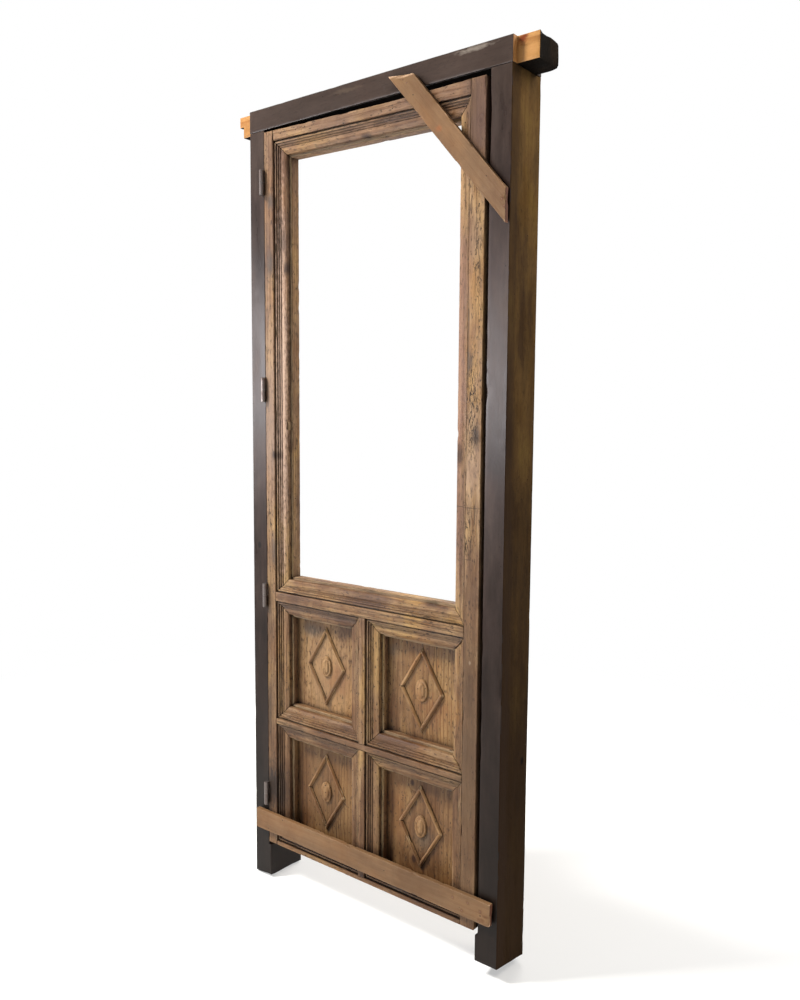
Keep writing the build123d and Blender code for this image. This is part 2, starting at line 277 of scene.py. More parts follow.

    # painted shade with some dirt in the corners, from the occlusion node, and pale wood where hands and feet
    # have worn the arrises
    closed = put("ShaderNodeAmbientOcclusion", {"Distance": look["cornerShadeReach"]}, out="AO", samples=6)
    cornerShadeAndDirt = put("ShaderNodeMapRange", {"Value": closed, "From Min": 0.85, "From Max": 0.25,
                                      "To Max": look["cornerShadeAndDirt"]})
    shadeAndDirtBreak = put("ShaderNodeMapRange", {"Value": broad, "From Min": 0.3, "From Max": 0.6, "To Min": 0.7})
    cornerShadeAndDirt = put("ShaderNodeMath", {0: cornerShadeAndDirt, 1: shadeAndDirtBreak}, operation="MULTIPLY")
    if look.get("section"):
        shadeShare = put("ShaderNodeMapRange", {"Value": shadeShare, "To Min": 0.3})
        cornerShadeAndDirt = put("ShaderNodeMath", {0: cornerShadeAndDirt, 1: shadeShare}, operation="MULTIPLY")
    edge = put("ShaderNodeAmbientOcclusion", {"Distance": 0.005}, out="AO", samples=6, inside=True)
    edge = put("ShaderNodeMapRange", {"Value": edge, "From Min": 0.62, "From Max": 0.25,
                                      "To Max": look["wear"]})
    edgeBreak = put("ShaderNodeMapRange", {"Value": fine, "From Min": 0.35, "From Max": 0.6})
    edge = put("ShaderNodeMath", {0: edge, 1: edgeBreak}, operation="MULTIPLY")
    layers.append((edge, look["wearColour"], "MIX"))
    layers.append((cornerShadeAndDirt, look["shadeAndDirtColour"], "MIX"))

    # every layer of colour over the bare tones, from the lowest up
    colour = tones.outputs[0]
    for share, hexColour, how in layers:
        sockets = {0: share, 6: colour, 7: linear(hexColour)}
        colour = put("ShaderNodeMix", sockets, out=2, data_type="RGBA", blend_type=how)

    relief = put("ShaderNodeMath", {0: ring, 1: 0.35, 2: fine}, operation="MULTIPLY_ADD")
    relief = put("ShaderNodeMath", {0: broad, 1: 0.8, 2: relief}, operation="MULTIPLY_ADD")
    relief = put("ShaderNodeMath", {0: pit, 1: -1.6, 2: relief}, operation="MULTIPLY_ADD")
    bump = put("ShaderNodeBump", {"Height": relief, "Strength": look["bump"], "Distance": 0.0012})
    rough = put("ShaderNodeMapRange", {"Value": cloud, "From Min": 0.35, "From Max": 0.65,
                                       "To Min": look["rough"][0], "To Max": look["rough"][1]})
    shader = put("ShaderNodeBsdfPrincipled", {"Base Color": colour, "Roughness": rough, "Normal": bump,
                                              "Specular IOR Level": look["gloss"]})
    put("ShaderNodeOutputMaterial", {0: shader}, out=None)
    return material


# stripped and waxed pine: purple brown to golden clouds, browner and darker towards the foot in part as
# painted shade, and painted shade with dirt in every corner
leafLook = {
    "tones": ["#644A38", "#866A50", "#9F8363", "#B49564"], "late": "#A8937C", "ringGap": 0.0085,
    "ring": 0.3, "fibre": 0.6, "wander": 0.02, "knotCell": (0.26, 0.07), "knotRate": 0.5,
    "knotColour": "#3A2416",
    "height": [("#8A7060", 1.3, 2.4, 0.4), ("#6E4E2E", 1.2, 0.2, 0.55)],
    "gold": 0.5, "goldColour": "#DDB27C",
    "residue": 0.9, "residueColour": "#3A291B", "crack": 0.5, "worm": 0.4,
    "cornerShadeAndDirt": 0.92, "shadeAndDirtColour": "#1D120B", "cornerShadeReach": 0.022, "wear": 0.5, "wearColour": "#BFA57F",
    "bump": 0.9, "rough": (0.50, 0.70), "gloss": 0.25,
    "galleries": [(0.803, 1.530, 0.020, 0.15, 1.0), (0.790, 1.200, 0.020, 0.07, 0.9),
                  (0.812, 1.90, 0.012, 0.12, 0.8)],
    "marks": {
        "#A08672": [(0.050, 1.50, 0.030, 0.30, 0.4), (0.800, 1.36, 0.026, 0.07, 0.3)],
        "#4E3B28": [(0.800, 0.62, 0.045, 0.46, 0.65), (0.045, 0.75, 0.016, 0.34, 0.5)],
        "#4C372E": [(0.802, 2.250, 0.050, 0.140, 0.8), (0.440, 2.322, 0.06, 0.014, 0.5)],
        "#4A3F38": [(0.0578, 2.140, 0.014, 0.024, 0.85), (0.0559, 1.954, 0.016, 0.035, 0.85),
                    (0.0671, 1.077, 0.016, 0.050, 0.7), (0.775, 1.78, 0.012, 0.06, 0.6),
                    (0.788, 1.641, 0.016, 0.030, 0.7)],
        "#2A1E16": [(0.0677, 1.377, 0.012, 0.015, 0.9), (0.0520, 0.315, 0.050, 0.085, 1.0),
                    (0.7688, 1.420, 0.014, 0.034, 0.7), (0.8139, 1.452, 0.014, 0.030, 0.85),
                    (0.8403, 1.029, 0.014, 0.040, 0.85), (0.0400, 0.56, 0.008, 0.08, 0.6),
                    (0.800, 1.266, 0.040, 0.0014, 0.6), (0.780, 1.130, 0.030, 0.0012, 0.6)],
        "#B5A48C": [(0.8047, 0.857, 0.0042, 0.0055, 0.25)],
    },
}
# mouldings: the same pine, with a line of painted shade and dirt in each step of the section (mm from its
# edge, share)
mouldingLook = dict(leafLook, knotRate=0.25, sectionShadeAndDirt=1.0, galleries=[],
                    section=[(2.6, 0.8), (3.4, 0.25), (7.6, 0.2), (8.6, 0.7), (9.8, 0.5), (11.0, 0.15),
                             (13.2, 0.15), (14.2, 0.7), (15.4, 0.5), (16.8, 0.15), (19.2, 0.2), (20.2, 0.8),
                             (22.0, 0.4), (25.0, 0.0), (39.0, 0.0), (41.0, 0.35), (41.6, 1.0), (43.6, 0.9),
                             (44.6, 0.1)],
                    marks={"#B79A86": [(0.090, 1.60, 0.016, 0.50, 0.75)],
                           "#7E5E50": [(0.752, 1.60, 0.026, 0.46, 0.6)],
                           "#2E1E14": [(0.4252, 2.264, 0.018, 0.013, 0.9),
                                       (0.110, 1.940, 0.012, 0.020, 0.9),
                                       (0.4404, 1.002, 0.020, 0.010, 0.8),
                                       (0.6634, 0.996, 0.026, 0.011, 0.8),
                                       (0.078, 1.377, 0.014, 0.014, 0.8), (0.095, 2.02, 0.010, 0.03, 0.6),
                                       (0.0760, 0.312, 0.040, 0.085, 0.95),
                                       (0.752, 1.402, 0.014, 0.030, 0.8),
                                       (0.752, 1.266, 0.030, 0.0014, 0.6)]})
# the opening's inner faces kept their oil: golden brown
revealLook = dict(mouldingLook, tones=["#6A4C2C", "#87683C", "#957444", "#A07E4E"], section=None,
                  residue=0.5, height=[("#7A5A34", 1.2, 0.3, 0.2)],
                  marks={"#2E1E14": [(0.116, 1.940, 0.02, 0.020, 0.9)]})
# panels: wider boards, smoother and more mottled
panelLook = dict(leafLook, tones=["#6C5036", "#8A6D4C", "#9A7C54", "#AC8B5E"], ringGap=0.012, fibre=0.45,
                 wander=0.035, knotRate=0.3, height=[("#744E28", 1.0, 0.2, 0.4)], worm=0.5, cornerShadeReach=0.020,
                 galleries=[],
                 marks={"#4E443A": [(0.185, 0.835, 0.050, 0.022, 0.7), (0.500, 0.83, 0.03, 0.02, 0.5),
                                    (0.62, 0.30, 0.035, 0.04, 0.55)],
                        "#A4835E": [(0.25, 0.70, 0.10, 0.13, 0.5)],
                        "#5A4026": [(0.26, 0.36, 0.12, 0.14, 0.4)],
                        "#6C4024": [(0.285, 0.70, 0.05, 0.06, 0.5), (0.660, 0.68, 0.05, 0.05, 0.45),
                                    (0.47, 0.66, 0.04, 0.05, 0.4)]})
# applied lozenges and bosses: rubbed paler than the panel behind them
ornamentLook = dict(panelLook, tones=["#84664A", "#9A7A58", "#A8875F", "#B4946C"], ringGap=0.0085,
                    cornerShadeReach=0.010, wear=0.8, wearColour="#C8AC84", residue=0.5, marks={})
# dark stained and waxed pine: nearly black brown, rubbed on the arrises, lighter near the head and darker
# towards the feet as painted light and shade
frameLook = {
    "tones": ["#2A1F1B", "#342823", "#3A2D28", "#44362F"], "late": "#C0B4AC", "ringGap": 0.009, "ring": 0.1,
    "fibre": 0.25, "wander": 0.02, "knotCell": (0.35, 0.09), "knotRate": 0.2, "knotColour": "#140D09",
    "height": [("#150E09", 1.3, 0.3, 0.85), ("#443933", 2.05, 2.3, 0.6)],
    "gold": 0.4, "goldColour": "#E0B8A0",
    "residue": 0.3, "residueColour": "#1A1310", "crack": 0.2, "worm": 0.12,
    "cornerShadeAndDirt": 0.9, "shadeAndDirtColour": "#060403", "cornerShadeReach": 0.035, "wear": 0.3, "wearColour": "#6A5240",
    "bump": 0.10, "rough": (0.27, 0.40), "gloss": 0.16,
    "marks": {"#8F857B": [(0.79, 2.409, 0.05, 0.006, 0.5)], "#57493C": [(0.36, 2.40, 0.05, 0.007, 0.35)]},
}
# the posts' sides and backs were never waxed: dull olive brown, painted darker towards the feet as shade
sideLook = dict(frameLook, tones=["#4A3824", "#5C482C", "#664F30", "#705A34"], fibre=0.25,
                height=[("#281C12", 1.9, 0.75, 0.9)], runOver=0.6, gold=0.5, goldColour="#BFAE70",
                gloss=0.03, cornerShadeReach=0.02, rough=(0.75, 0.9), bump=0.4, wear=0.3, wearColour="#6E5336",
                marks={})
# inner faces of the frame, painted near black as the shade in the gaps where the leaf shuts against them,
# with some dirt
shadedRebateLook = dict(sideLook, runOver=0, tones=["#120C09", "#18110D", "#1C1410", "#221913"], height=[],
                  gloss=0.02)
# weathered end grain of the long horn: dull, cracked and nearly black
hornLook = dict(sideLook, runOver=0, tones=["#0E0B08", "#16120E", "#1B1612", "#28211A"], late="#A09080",
                crack=0.9, height=[], wear=0.6, wearColour="#463B31", bump=1.0, gold=0.2)
# new planed softwood of the two temporary battens, brushed over with a thin tan coat
battenLook = {
    "tones": ["#6B523A", "#745B42", "#7C6146", "#84674A"], "late": "#CDBCA8", "ringGap": 0.010, "ring": 0.1,
    "fibre": 0.25, "wander": 0.008, "knotCell": (0.5, 0.12), "knotRate": 0.0, "knotColour": "#6B4526",
    "gold": 0.35, "goldColour": "#E8C8A0",
    "height": [], "residue": 0.3, "residueColour": "#5E412A", "crack": 0.0, "worm": 0.15,
    "cornerShadeAndDirt": 0.3, "shadeAndDirtColour": "#3A2718", "cornerShadeReach": 0.010, "wear": 0.9, "wearColour": "#C2A488",
    "bump": 0.3, "rough": (0.5, 0.65), "gloss": 0.2,
    "marks": {"#B9987C": [(0.7240, 2.2650, 0.008, 0.008, 0.7), (0.7920, 2.1900, 0.009, 0.007, 0.7),
                          (0.8110, 2.1700, 0.009, 0.007, 0.7), (0.8230, 2.1570, 0.008, 0.006, 0.7),
                          (0.545, 2.390, 0.03, 0.003, 0.6), (0.590, 2.383, 0.03, 0.003, 0.6)],
              "#8A4A24": [(0.6960, 2.2305, 0.010, 0.008, 0.4)],
              "#5A3A22": [(0.8741, 0.1862, 0.010, 0.004, 0.8), (0.866, 0.172, 0.008, 0.006, 0.7),
                          (0.8595, 0.1956, 0.006, 0.006, 0.7), (0.8558, 0.1683, 0.006, 0.006, 0.7),
                          (0.8194, 0.2062, 0.006, 0.006, 0.6), (0.8010, 0.178, 0.006, 0.006, 0.6),
                          (0.7700, 0.2046, 0.006, 0.006, 0.6), (0.8889, 2.0302, 0.006, 0.006, 0.6),
                          (0.8964, 2.0126, 0.006, 0.006, 0.6)]},
}
# the sawn ends of the battens have soaked up stain: red brown
endLook = dict(battenLook, tones=["#442718", "#56321F", "#5A3624", "#663E28"], wearColour="#7A5036",
               marks={})
# fresh saw cut through the head's ends: clean resinous pine with one red knot
freshLook = dict(battenLook, tones=["#9C713A", "#B08450", "#B98C58", "#C09662"], ring=0.5, wear=0.2,
                 residue=0.25, cornerShadeAndDirt=0.5, marks={"#6A3218": [(0.9175, 2.4085, 0.012, 0.013, 1.0)],
                                                "#7A5226": [(0.925, 2.392, 0.016, 0.004, 0.6)]})

leafPine = timber("waxedPineLeaf", leafLook)
mouldingPine = timber("waxedPineMoulding", mouldingLook)
revealPine = timber("oiledPineReveal", revealLook)
panelPine = timber("waxedPinePanel", panelLook)
ornamentPine = timber("rubbedPineOrnament", ornamentLook)
framePine = timber("stainedPineFrame", frameLook)
sidePine = timber("dryPineSide", sideLook)
shadedRebatePine = timber("shadedPineRebate", shadedRebateLook)
hornPine = timber("weatheredEndGrain", hornLook)
battenPine = timber("coatedBattenPine", battenLook)
endPine = timber("stainedEndGrain", endLook)
freshPine = timber("freshCutPine", freshLook)
print("timber finishes made")


# worn timber made from the CAD solids
seeds = random.Random(41)


def islands(mesh):
    # each loose solid of a node as its own clean bmesh with flat faces
    whole = bmesh.new()
    whole.from_mesh(mesh)
    bmesh.ops.remove_doubles(whole, verts=whole.verts, dist=1e-5)
    whole.verts.index_update()
    label = [-1] * len(whole.verts)
    count = 0
    for start in whole.verts:
        if label[start.index] >= 0:
            continue
        stack = [start]
        label[start.index] = count
        while stack:
            for e in stack.pop().link_edges:
                for v in e.verts:
                    if label[v.index] < 0:
                        label[v.index] = count
                        stack.append(v)
        count += 1
    found = []
    for n in range(count):
        part = bmesh.new()
        made = {v.index: part.verts.new(v.co) for v in whole.verts if label[v.index] == n}
        for f in whole.faces:
            if f.verts[0].index in made:
                part.faces.new([made[v.index] for v in f.verts])
        bmesh.ops.dissolve_limit(part, angle_limit=math.radians(1), verts=part.verts, edges=part.edges)
        found.append(part)
    whole.free()
    return found


def boardAxes(part):
    # middle, and the directions along the board, across its face and into its depth
    points = np.array([v.co for v in part.verts])
    middle = (points.min(0) + points.max(0)) / 2
    real = [e for e in part.edges if len(e.link_faces) == 2 and e.calc_face_angle() > 0.3]
    longest = max(real, key=lambda e: e.calc_length())
    along = longest.verts[1].co - longest.verts[0].co
    along.y = 0
    along.normalize()
    across = Vector((0, 1, 0)).cross(along)
    return Vector(middle), along, across, Vector((0, 1, 0))


def slices(part, middle, axis, gap, margin=None):
    # cuts across the axis at even gaps; only what lies beyond the last cut is cut again
    reach = [(v.co - middle).dot(axis) for v in part.verts]
    low, high = min(reach), max(reach)
    count = int((high - low) / gap)
    spots = [low + (high - low) * k / (count + 1) for k in range(1, count + 1)]
    if margin and high - low > margin * 3:
        spots = sorted(s for s in spots if low + margin * 1.4 < s < high - margin * 1.4)
        spots = [low + margin] + spots + [high - margin]
    rest = list(part.faces)
    for spot in spots:
        pool = rest + list({e for f in rest for e in f.edges}) + list({v for f in rest for v in f.verts})
        cut = bmesh.ops.bisect_plane(part, geom=pool, dist=1e-6, plane_co=middle + axis * spot,
                                     plane_no=axis)
        rest = [f for f in cut["geom"]
                if isinstance(f, bmesh.types.BMFace) and (f.calc_center_median() - middle).dot(axis) > spot]


def wornBoard(part, wear):
    # softens the arrises, then moves points inwards for plane marks, dents and chips
    middle, along, across, depth = boardAxes(part)
    joint = wear.get("joint", -1)
    sharp, lines = [], []
    for e in part.edges:
        if len(e.link_faces) != 2 or not e.is_convex or e.calc_face_angle() < 0.6:
            continue
        if max(abs(v.co.z - joint) for v in e.verts) < 0.001:
            continue
        out = (e.link_faces[0].normal + e.link_faces[1].normal).normalized()
        lines.append([*e.verts[0].co, *e.verts[1].co, *out])
        if e.calc_face_angle() > 0.9:
            sharp.append(e)
    bmesh.ops.bevel(part, geom=sharp, offset=wear["arris"], offset_type="OFFSET", segments=wear["segments"],
                    profile=0.5, affect="EDGES", clamp_overlap=True)
    bmesh.ops.dissolve_degenerate(part, edges=part.edges, dist=2e-5)
    slices(part, middle, across, wear["acrossGap"], wear["margin"])
    slices(part, middle, depth, wear["acrossGap"], wear["margin"])
    slices(part, middle, along, wear["alongGap"])
    part.normal_update()
    lines = np.array(lines)
    starts, runs, outs = lines[:, 0:3], lines[:, 3:6] - lines[:, 0:3], lines[:, 6:9]
    lengths = (runs ** 2).sum(1)
    drift = Vector((seeds.uniform(0, 50), seeds.uniform(0, 50), seeds.uniform(0, 50)))
    moves = []
    for v in part.verts:
        p = v.co
        gap = np.array(p) - starts
        share = np.clip((gap * runs).sum(1) / lengths, 0, 1)
        far = np.linalg.norm(gap - runs * share[:, None], axis=1)
        nearest = int(far.argmin())
        onArris = far[nearest] < wear["arris"] * 1.3
        out = Vector(outs[nearest]) if onArris else v.normal
        sway = noise.noise(p * 3.0 + drift) * 0.5 + 0.5
        dent = max(0.0, noise.noise(p * 30.0 + drift) - 0.2)
        inward = wear["sway"] * sway + wear["dent"] * dent
        if onArris:
            often = wear["often"]
            q = Vector((p.dot(along) * often, p.dot(across) * 12, p.y * 12)) + drift * 1.7
            inward += wear["chip"] * max(0.0, noise.noise(q) - wear["chipFrom"])
            inward += wear["nick"] * max(0.0, noise.noise(q * 3.1) - 0.4)
        if abs(p.z - joint) < 0.001:
            out = Vector((out.x, out.y, 0))
            out.normalize()
        moves.append((v, -out * inward))
    for v, move in moves:
        v.co += move
    return middle, along, across, depth


# share of the section's painted shade and dirt on the level lengths of a moulding and on its uprights: most
# on the left uprights, which face away from the key light
shadeShareBySide = {"level": 0.35, "left": 0.95, "right": 0.5}
sharpAngle = math.radians(24)


def wornPiece(node, materials, wear, shape=None, centre=None):
    # the worn copy that stands for one CAD node; centre is the middle of the bay that a moulding goes round
    joined = bmesh.new()
    grain = joined.verts.layers.float_vector.new("grain")
    section = joined.verts.layers.float.new("section")
    shadeShare = joined.verts.layers.float.new("shadeShare")
    for part in islands(frame["nodes"][node].data):
        middle, along, across, depth = wornBoard(part, wear)
        start = seeds.uniform(0, 9)
        side = seeds.choice((-1, 1)) * seeds.uniform(*wear["pithSide"])
        under = seeds.uniform(*wear["pithUnder"])
        if shape:
            shape(part)
        outer = 0.0
        if centre:
            outer = math.copysign(1, (middle - centre).dot(across))
            half = max((v.co - middle).dot(across) for v in part.verts)
            upright = "left" if middle.x < centre.x else "right"
            shadedShare = shadeShareBySide["level" if abs(along.x) > 0.5 else upright]
        copies = {}
        for v in part.verts:
            new = joined.verts.new(v.co)
            p = v.co - middle
            new[grain] = (p.dot(along) + start, p.dot(across) + side, p.dot(depth) - under)
            new[section] = half - outer * p.dot(across) if centre else -0.01
            new[shadeShare] = shadedShare if centre else 0.0
            copies[v] = new
        for f in part.faces:
            face = joined.faces.new([copies[v] for v in f.verts])
            face.smooth = True
            face.material_index = f.material_index
        part.free()
    bmesh.ops.triangulate(joined, faces=joined.faces)
    mesh = bpy.data.meshes.new(node + "_worn")
    joined.to_mesh(mesh)
    joined.free()
    mesh.set_sharp_from_angle(angle=sharpAngle)
    piece = newObject(node + "_worn", mesh)
    for material in materials if isinstance(materials, list) else [materials]:
        mesh.materials.append(material)
    body = frame["nodes"][node]["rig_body"]
    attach(piece, body)
    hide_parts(node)
    return piece


# sizes of the wear in metres: rounding of the arrises, gaps between cuts, depth of dents, chips and nicks
postWear = {"joint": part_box("head_beam")[0].z, "arris": 0.0020, "segments": 2, "acrossGap": 0.022,
            "alongGap": 0.011, "margin": 0.008, "sway": 0.0008, "often": 11, "dent": 0.0006, "chip": 0.008,
            "chipFrom": 0.42, "nick": 0.002, "pithSide": (0.01, 0.03), "pithUnder": (0.02, 0.06)}
boardWear = {"arris": 0.0016, "segments": 2, "acrossGap": 0.016, "alongGap": 0.010, "margin": 0.005,
             "sway": 0.0008, "often": 22, "dent": 0.0014, "chip": 0.007, "chipFrom": 0.34, "nick": 0.004,
             "pithSide": (0.02, 0.07), "pithUnder": (0.05, 0.12)}
mouldingWear = dict(boardWear, arris=0.0008, segments=1, acrossGap=0.009, alongGap=0.008, margin=None,
                    often=24, chip=0.008, nick=0.005)
battenWear = dict(boardWear, arris=0.0008, segments=1, acrossGap=0.020, margin=0.004, sway=0.0004, often=26,
                  dent=0.0003, chip=0.012, chipFrom=0.36, pithSide=(0.04, 0.09), pithUnder=(0.06, 0.12))


footWear = {"reach": 0.045, "rise": 0.012, "waves": 16}


def wornFoot(part):
    # the posts' ends have rotted unevenly where they stood on the ground
    for v in part.verts:
        if v.co.z < footWear["reach"]:
            low = (footWear["reach"] - v.co.z) / footWear["reach"]
            spot = Vector((v.co.x * footWear["waves"], v.co.y * footWear["waves"], 3.0))
            rot = noise.noise(spot) * 0.5 + 0.45
            v.co.z += footWear["rise"] * low * max(0.0, rot)


# the long horn's end: how far in it is chewed, and by how much at its rim, its far side and all over
hornWear = {"reach": 0.030, "middle": 2.3855, "half": 0.0325, "nearY": -0.040, "farY": 0.035,
            "depth": 0.033, "rim": 0.003, "far": 0.003, "chew": 0.004, "round": 0.002, "drop": 0.003,
            "waves": 55}
# depths in the frame: the front of its rebates, and the stop that the leaf shuts against
rebateFront, stopFront = -0.060, -0.006
footTop = 0.12
headSlots = {"frame": 0, "fresh": 1, "side": 2, "horn": 3, "rebate": 4}
postSlots = {"frame": 0, "side": 1, "rebate": 2}


def sawnHead(part):
    # the horns' fronts are a fresh cut; the far corners of the long one are old and chewed
    first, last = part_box("hinge_post")[0].x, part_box("latch_post")[1].x
    end = max(v.co.x for v in part.verts)
    worn = hornWear
    for v in part.verts:
        if v.co.x > end - worn["reach"] and v.co.y > worn["nearY"]:
            share = (v.co.x - end + worn["reach"]) / worn["reach"]
            height = v.co.z - worn["middle"]
            rim = max(0.0, abs(height) / worn["half"] - 0.6) / 0.4
            far = max(0.0, v.co.y - worn["farY"]) / worn["depth"]
            chew = noise.noise(v.co * worn["waves"]) * 0.5 + 0.5
            v.co.x -= share * (worn["rim"] * rim * rim + worn["far"] * far * far + worn["chew"] * chew)
            v.co.z -= math.copysign(share * share * (worn["round"] * rim * far + worn["drop"] * chew * rim),
                                    height)
            v.co.y -= share * worn["far"] * far * rim
    part.normal_update()
    for f in part.faces:
        middle = f.calc_center_median()
        onHorn = middle.x > last + 0.001 or middle.x < first - 0.001
        if onHorn:
            f.material_index = headSlots["fresh"] if f.normal.y < -0.8 else headSlots["horn"]
        elif abs(f.normal.x) > 0.7 and middle.x > 0.5 and middle.y < 0:
            f.material_index = headSlots["fresh"]
        elif f.normal.y > 0.7 or (middle.y > stopFront and f.normal.z < -0.5):
            f.material_index = headSlots["side"]
        # rebate faces between the posts take the near-black painted shade
        elif middle.y > rebateFront and first + 0.1 < middle.x < last - 0.05 and f.normal.z < 0.5:
            f.material_index = headSlots["rebate"]


def drySides(part):
    # only the faces that show in the room were waxed
    wornFoot(part)
    part.normal_update()
    for f in part.faces:
        middle = f.calc_center_median()
        outer = middle.x > 0.9 or middle.x < -0.034
        behindStop = middle.y > stopFront and middle.z > footTop + 0.01
        if f.normal.y > 0.7 or (abs(f.normal.x) > 0.7 and (outer or behindStop)):
            f.material_index = postSlots["side"]
        # rebate faces take the near-black painted shade
        elif middle.y > rebateFront and middle.z > footTop and not outer:
            f.material_index = postSlots["rebate"]


def oiledReveal(part):
    # faces that look into the opening
    part.normal_update()
    inner = (glassLow + glassHigh) / 2
    for f in part.faces:
        middle = f.calc_center_median()
        if abs(f.normal.y) < 0.4 and f.normal.dot(inner - middle) > 0 and middle.y > -0.043:
            f.material_index = 1


catchHole = {"low": (0.1068, 0, 1.4555), "high": (0.13, 0, 1.4795), "floor": -0.0347, "wall": 0.1165}


def notched(part):
    # the small rectangular hole left by a lost catch, cut into the sight edge
    low, high, floorY = Vector(catchHole["low"]), Vector(catchHole["high"]), catchHole["floor"]
    for spot, axis in ((low, (1, 0, 0)), (low, (0, 0, 1)), (high, (0, 0, 1)),
                       (Vector((0, floorY, 0)), (0, 1, 0))):
        everything = part.faces[:] + part.edges[:] + part.verts[:]
        bmesh.ops.bisect_plane(part, geom=everything, dist=1e-6, plane_co=spot, plane_no=axis)
    part.normal_update()

    def within(f):
        c = f.calc_center_median()
        return low.x < c.x < high.x and low.z < c.z < high.z and c.y < floorY

    inside = [f for f in part.faces if within(f) and f.normal.y < -0.5]
    sunk = bmesh.ops.extrude_face_region(part, geom=inside)
    for g in sunk["geom"]:
        if isinstance(g, bmesh.types.BMVert):
            g.co.y = floorY
    part.normal_update()
    hole = [f for f in part.faces if f.is_valid and within(f)]
    spare = [f for f in hole if f in inside or f.calc_center_median().x > catchHole["wall"]]
    bmesh.ops.delete(part, geom=spare, context="FACES_ONLY")
    oiledReveal(part)


bite = {"z": 1.4555, "half": 0.014, "edge": 0.745, "depth": 0.006}


def bitten(part):
    # a bite out of the sight edge on the latch side
    for v in part.verts:
        near = 1 - abs(v.co.z - bite["z"]) / bite["half"]
        if near > 0 and v.co.x < bite["edge"]:
            v.co.x += bite["depth"] * near * (0.6 + 0.4 * noise.noise(v.co * 90))
    oiledReveal(part)


def inkEnds(part):
    # the batten's two sawn ends
    part.normal_update()
    for f in part.faces:
        if abs(f.normal.x) > 0.9:
            f.material_index = 1


for node in ("hinge_post", "latch_post"):
    wornPiece(node, [framePine, sidePine, shadedRebatePine], postWear, drySides)
headMade = [framePine, freshPine, sidePine, hornPine, shadedRebatePine]
wornPiece("head_beam", headMade, postWear, sawnHead)
for node in ("hinge_stile", "latch_stile", "top_rail", "lock_rail", "mid_rail", "bottom_rail",
             "upper_muntin", "lower_muntin"):
    wornPiece(node, leafPine, boardWear)
glassLow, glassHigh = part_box("opening_moulding_bottom")[0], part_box("opening_moulding_top")[1]
for side in ("top", "bottom", "left", "right"):
    shape = {"left": notched, "right": bitten}.get(side, oiledReveal)
    made = [mouldingPine, revealPine]
    piece = wornPiece("opening_moulding_" + side, made, mouldingWear, shape,
                      centre=(glassLow + glassHigh) / 2)
for bay in ("upper_left", "upper_right", "lower_left", "lower_right"):
    low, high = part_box("panel_moulding_" + bay)
    wornPiece("panel_moulding_" + bay, mouldingPine, mouldingWear, centre=(low + high) / 2)
    wornPiece("panel_" + bay, panelPine, boardWear)
    wornPiece("lozenge_" + bay, ornamentPine, mouldingWear)
for node in ("lower_batten", "corner_brace"):
    wornPiece(node, [battenPine, endPine], battenWear, inkEnds)


# oval bosses, carved by hand: a low step all round, then a domed button
bossLook = {"turns": 40, "profile": [(1.0, 0.0), (0.985, 0.35), (0.93, 0.52), (0.84, 0.56), (0.76, 0.50),
                                     (0.70, 0.60), (0.62, 0.80), (0.48, 0.93), (0.30, 0.98), (0.12, 1.0)]}


def carvedBoss(bay):
    low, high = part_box("boss_" + bay)
    middle = (low + high) / 2
    halfW, halfH, rise = (high.x - low.x) / 2, (high.z - low.z) / 2, high.y - low.y
    part = bmesh.new()
    grain = part.verts.layers.float_vector.new("grain")
    drift = Vector((seeds.uniform(0, 40), 0, seeds.uniform(0, 40)))
    rings = []
    for share, lift in bossLook["profile"]:
        ringVerts = []
        for k in range(bossLook["turns"]):
            angle = 2 * math.pi * k / bossLook["turns"]
            x, z = share * halfW * math.cos(angle), share * halfH * math.sin(angle)
            cut = noise.noise(Vector((x * 90, lift * 2, z * 90)) + drift) * 0.5 + 0.5
            y = high.y - rise * lift * (1 - 0.12 * cut)
            v = part.verts.new((middle.x + x * (1 - 0.03 * cut), y, middle.z + z * (1 - 0.03 * cut)))
            v[grain] = (z + drift.z, x + 0.05, y - 0.06)
            ringVerts.append(v)
        rings.append(ringVerts)
    for inner, outer in zip(rings[1:], rings):
        for k in range(len(inner)):
            part.faces.new((outer[k - 1], outer[k], inner[k], inner[k - 1]))
    part.faces.new(rings[-1])
    part.faces.new(reversed(rings[0]))
    bmesh.ops.recalc_face_normals(part, faces=part.faces)
    bmesh.ops.triangulate(part, faces=part.faces)
    for f in part.faces:
        f.smooth = True
    mesh = bpy.data.meshes.new("boss_" + bay + "_worn")
    part.to_mesh(mesh)
    part.free()
    mesh.set_sharp_from_angle(angle=math.radians(50))
    mesh.materials.append(ornamentPine)
    piece = newObject("boss_" + bay + "_worn", mesh)
    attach(piece, "door")
    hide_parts("boss_" + bay)


for bay in ("upper_left", "upper_right", "lower_left", "lower_right"):
    carvedBoss(bay)


# wrought iron hinges: dark forged skin with brown rust and rubbed edges
ironLook = {"skin": "#6A625E", "rust": "#4E3020", "rub": "#9A938B", "rusty": 0.4}
nailLook = {"skin": "#4A332A", "rust": "#5E3018", "rub": "#7A5A48", "rusty": 0.9}


